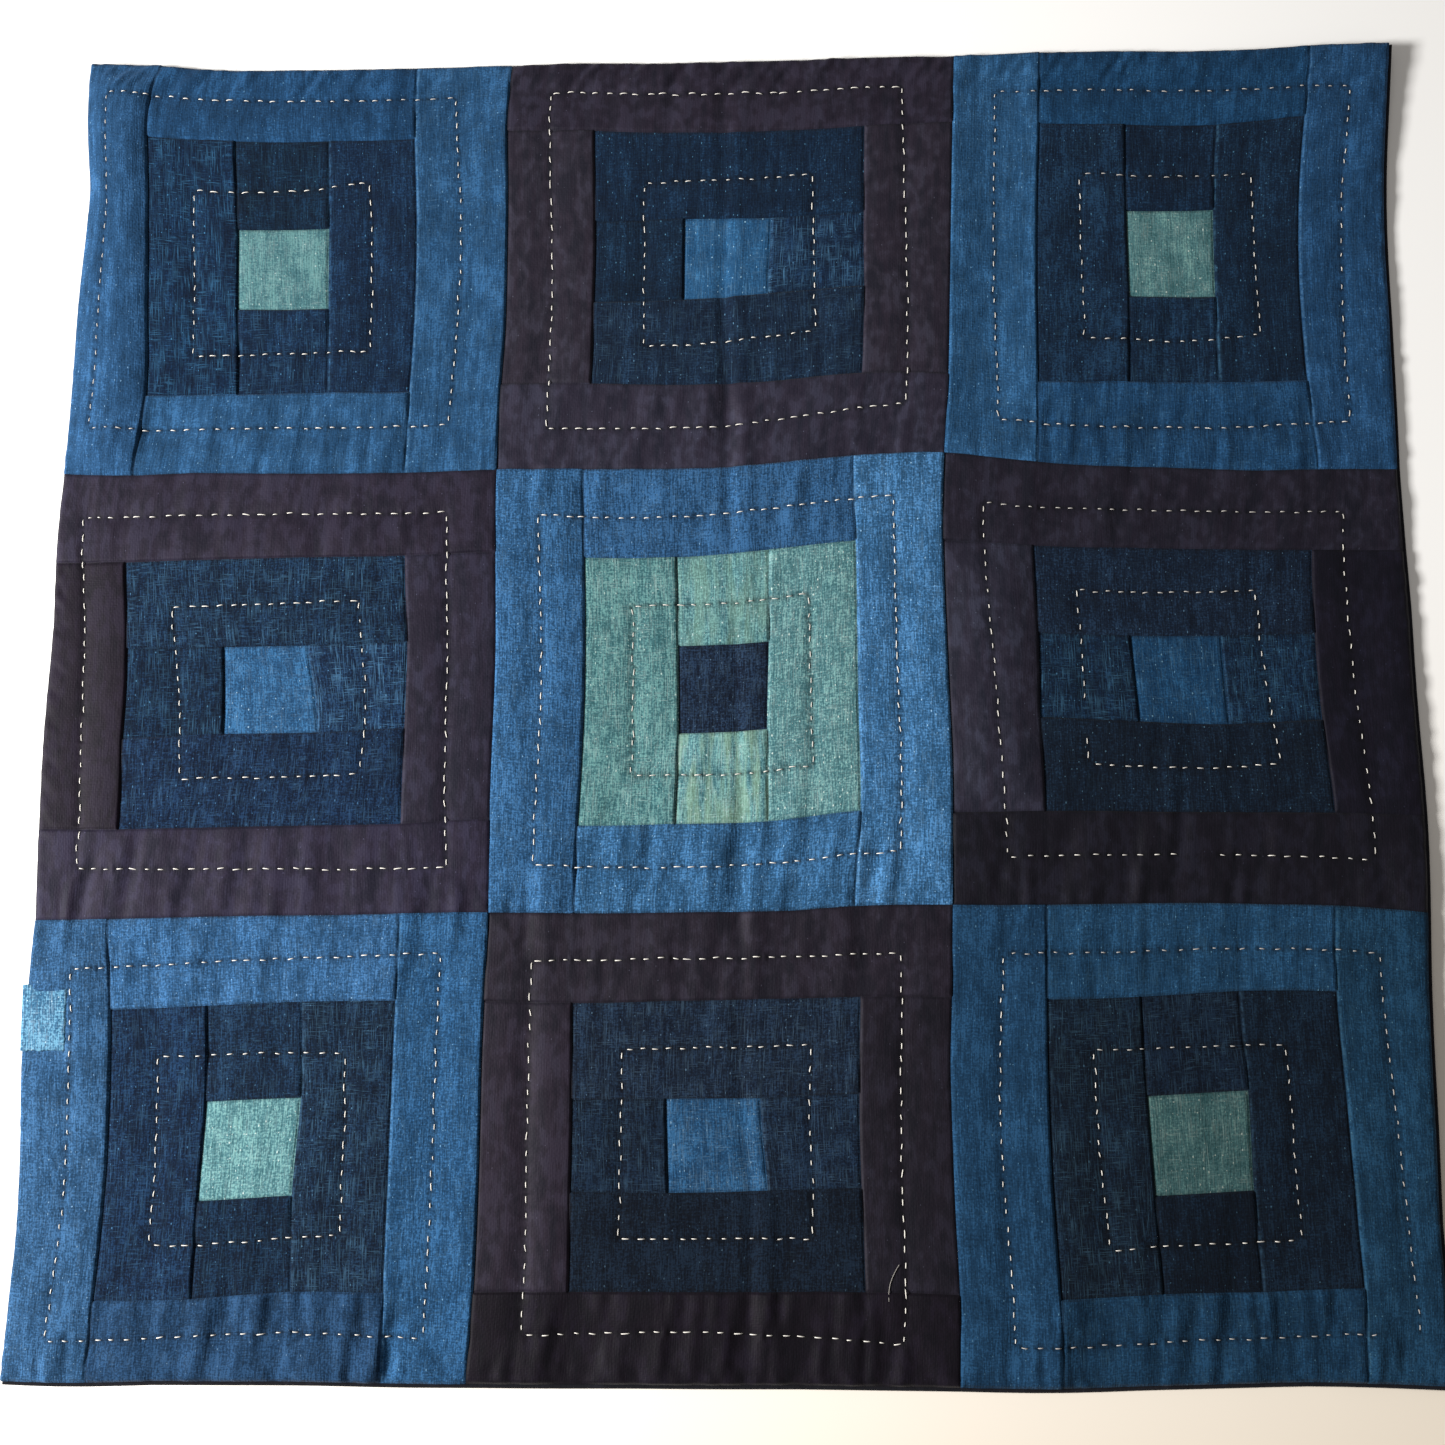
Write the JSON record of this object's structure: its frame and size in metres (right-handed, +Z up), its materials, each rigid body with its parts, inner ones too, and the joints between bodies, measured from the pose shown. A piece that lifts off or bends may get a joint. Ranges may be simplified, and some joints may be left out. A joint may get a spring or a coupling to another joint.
{
  "type": "patchwork cushion cover",
  "caption": "Empty square cushion cover lying flat: log-cabin patchwork front with rows of running stitch, plain back, small folded side tab.",
  "frame": {"origin": "on the surface it lies on, under the middle of the cover's box", "axes": "+X to the cover's right edge, +Y to its top edge, +Z up out of the patchwork front"},
  "size_m": [0.4582, 0.45, 0.0071],
  "materials": {
    "patchwork_cotton": "hand-woven indigo cotton patches, matt",
    "back_cotton": "plain dark cotton, matt",
    "tab_cotton": "plain light blue cotton with raw edges, matt",
    "sewing_thread": "thick off-white cotton thread"
  },
  "bodies": {
    "root": {"front_panel": "patchwork_cotton", "back_panel": "back_cotton", "side_tab": "tab_cotton"}
  },
  "joints": []
}
